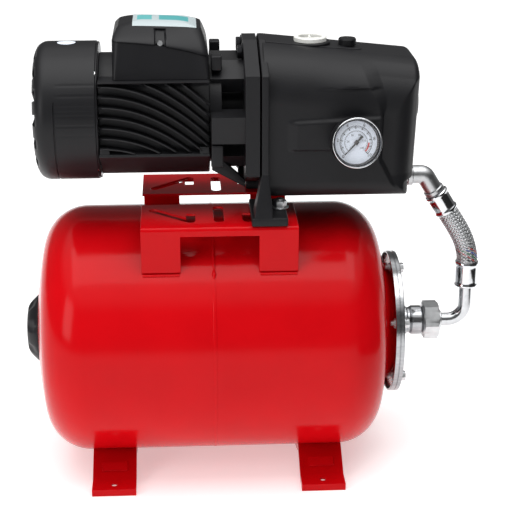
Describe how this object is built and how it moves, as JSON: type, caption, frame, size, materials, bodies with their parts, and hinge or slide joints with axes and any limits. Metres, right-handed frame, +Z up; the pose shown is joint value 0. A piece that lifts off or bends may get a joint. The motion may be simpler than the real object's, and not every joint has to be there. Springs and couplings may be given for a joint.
{
  "type": "jet pump booster set",
  "caption": "Self-priming centrifugal jet pump and motor on a horizontal pressure tank, joined by a braided hose, with a pressure gauge and switch.",
  "frame": {"origin": "on the floor under the middle of the set's bounding box", "axes": "+X along the motor shaft from the fan to the wet end and the hose, -Y towards the gauge side, +Z up"},
  "size_m": [0.4994, 0.27, 0.4945],
  "materials": {
    "red_enamel": "gloss stoved enamel",
    "black_plastic": "satin moulded",
    "black_paint": "satin black paint on die-cast aluminium",
    "cast_iron": "satin black paint on cast iron",
    "steel": "bright steel",
    "zinc": "zinc plated",
    "chrome": "polished plate",
    "aluminium": "as cast",
    "braid": "woven steel wire over a rubber tube",
    "brass": "machined",
    "copper": "varnished winding on laminated steel",
    "rubber": "matt",
    "ceramic": "lapped ceramic",
    "grey_plastic": "moulded",
    "white_plastic": "satin moulded",
    "glass": "clear"
  },
  "bodies": {
    "base": {"tank_shell_left": "red_enamel", "tank_shell_right": "red_enamel", "tank_bladder": "rubber", "tank_flange": "steel", "flange_bolt_1": "steel", "flange_bolt_2": "steel", "flange_bolt_3": "steel", "flange_bolt_4": "steel", "flange_bolt_5": "steel", "flange_bolt_6": "steel", "air_valve": "brass", "foot_left": "red_enamel", "foot_right": "red_enamel", "pump_rail_near": "red_enamel", "pump_rail_far": "red_enamel", "foot_bolt_near": "zinc", "foot_bolt_far": "zinc", "motor_housing": "black_paint", "stator": "copper", "rear_bearing": "steel", "front_bearing": "steel", "rear_shield": "aluminium", "fan_cover": "black_plastic", "terminal_box": "black_plastic", "terminal_lid": "black_plastic", "capacitor": "grey_plastic", "cable_gland": "black_plastic", "motor_bracket": "black_paint", "seal_seat": "ceramic", "casing_bolt_1": "zinc", "casing_bolt_2": "zinc", "casing_bolt_3": "zinc", "casing_bolt_4": "zinc", "pump_casing": "cast_iron", "casing_gasket": "rubber", "diffuser": "grey_plastic", "venturi_tube": "grey_plastic", "jet_nozzle": "brass", "gauge_case": "black_plastic", "gauge_bezel": "chrome", "gauge_glass": "glass", "pressure_switch": "black_plastic", "hose": "braid", "ferrule_lower": "chrome", "ferrule_upper": "chrome", "hose_elbow": "steel", "union_nut": "zinc", "outlet_elbow": "aluminium"},
    "rotor": {"shaft": "steel", "rotor_core": "steel", "cooling_fan": "black_plastic", "seal_head": "rubber", "impeller": "brass", "impeller_nut": "brass"},
    "needle": {"gauge_needle": "black_plastic"},
    "outlet_plug": {"outlet_plug": "white_plastic"},
    "priming_plug": {"priming_plug": "black_plastic"},
    "suction_plug": {"suction_plug": "white_plastic"},
    "drain_plug": {"drain_plug": "black_plastic"},
    "valve_cover": {"valve_cover": "black_plastic"}
  },
  "joints": [
    {"name": "rotor_spin", "type": "hinge", "parent": "base", "child": "rotor", "pos_m": [0, 0, 0.3965], "axis": [1, 0, 0], "continuous": true},
    {"name": "gauge_needle_turn", "type": "hinge", "parent": "base", "child": "needle", "pos_m": [0.09835, -0.104, 0.3853], "axis": [-0.12, 0.9775, -0.1737], "range_deg": [0, 270], "stiffness_Nm_per_rad": 0.0002},
    {"name": "outlet_plug_lift", "type": "slide", "parent": "base", "child": "outlet_plug", "axis": [0, 0, 1], "range_m": [0, 0.03]},
    {"name": "priming_plug_lift", "type": "slide", "parent": "base", "child": "priming_plug", "axis": [0, 0, 1], "range_m": [0, 0.03]},
    {"name": "suction_plug_pull", "type": "slide", "parent": "base", "child": "suction_plug", "axis": [1, 0, 0], "range_m": [0, 0.03]},
    {"name": "drain_plug_drop", "type": "slide", "parent": "base", "child": "drain_plug", "axis": [0, 0, -1], "range_m": [0, 0.012]},
    {"name": "valve_cover_pull", "type": "slide", "parent": "base", "child": "valve_cover", "axis": [-1, 0, 0], "range_m": [0, 0.03]}
  ]
}
